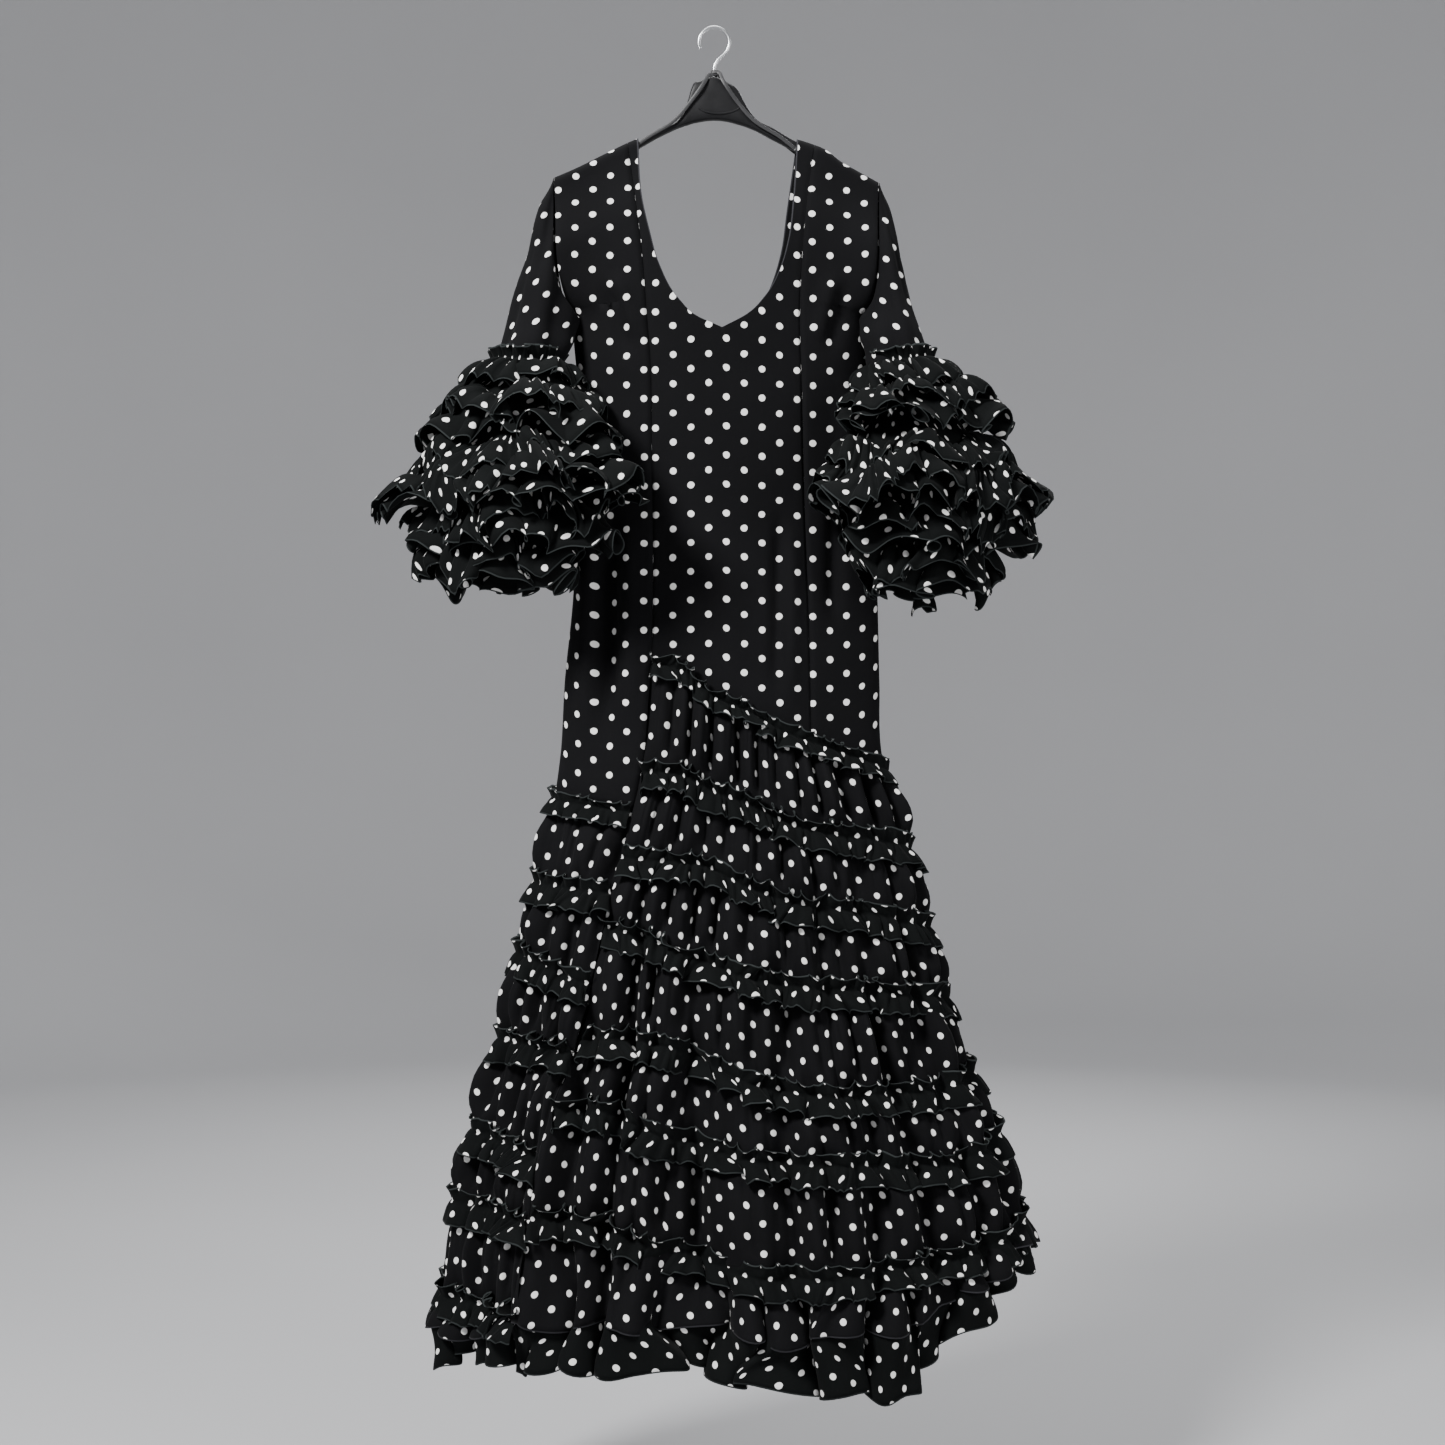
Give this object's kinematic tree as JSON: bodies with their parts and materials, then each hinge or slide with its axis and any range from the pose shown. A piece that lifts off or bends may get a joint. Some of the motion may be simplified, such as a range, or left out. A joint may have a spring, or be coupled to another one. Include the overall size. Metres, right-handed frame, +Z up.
{
  "type": "flamenco dress on hanger",
  "caption": "Full-length flamenco dress with a deep scoop neck, frilled elbow sleeves and a tiered frilled skirt, hanging on a plain plastic hanger.",
  "frame": {"origin": "inside top of the hanger's hook, where it rests on a rail", "axes": "+X across the dress to the right as seen from its front, -Y out of the front, +Z up"},
  "size_m": [0.7739, 0.3477, 1.5739],
  "materials": {
    "dotted_crepe": "matt crepe",
    "dotted_frill": "matt crepe",
    "hanging_tape": "satin tape",
    "hanger_plastic": "satin",
    "hook_wire": "satin"
  },
  "bodies": {
    "root": {"front_centre": "dotted_crepe", "front_side_left": "dotted_crepe", "front_side_right": "dotted_crepe", "back_centre_left": "dotted_crepe", "back_centre_right": "dotted_crepe", "back_side_left": "dotted_crepe", "back_side_right": "dotted_crepe", "sleeve_left": "dotted_crepe", "sleeve_right": "dotted_crepe", "skirt_tier_1": "dotted_crepe", "skirt_tier_2": "dotted_crepe", "skirt_tier_3": "dotted_crepe", "skirt_tier_4": "dotted_crepe", "skirt_tier_5": "dotted_crepe", "skirt_tier_6": "dotted_crepe", "skirt_tier_7": "dotted_crepe", "sleeve_frill_left_1": "dotted_frill", "sleeve_frill_left_2": "dotted_frill", "sleeve_frill_left_3": "dotted_frill", "sleeve_frill_left_4": "dotted_frill", "sleeve_frill_right_1": "dotted_frill", "sleeve_frill_right_2": "dotted_frill", "sleeve_frill_right_3": "dotted_frill", "sleeve_frill_right_4": "dotted_frill", "frill_1": "dotted_frill", "frill_2": "dotted_frill", "frill_3": "dotted_frill", "frill_4": "dotted_frill", "frill_5": "dotted_frill", "frill_6": "dotted_frill", "frill_7": "dotted_frill", "skirt_tier_8": "dotted_frill", "hanging_loop_left": "hanging_tape", "hanging_loop_right": "hanging_tape", "hanger_body": "hanger_plastic", "hanger_hook": "hook_wire"}
  },
  "joints": []
}
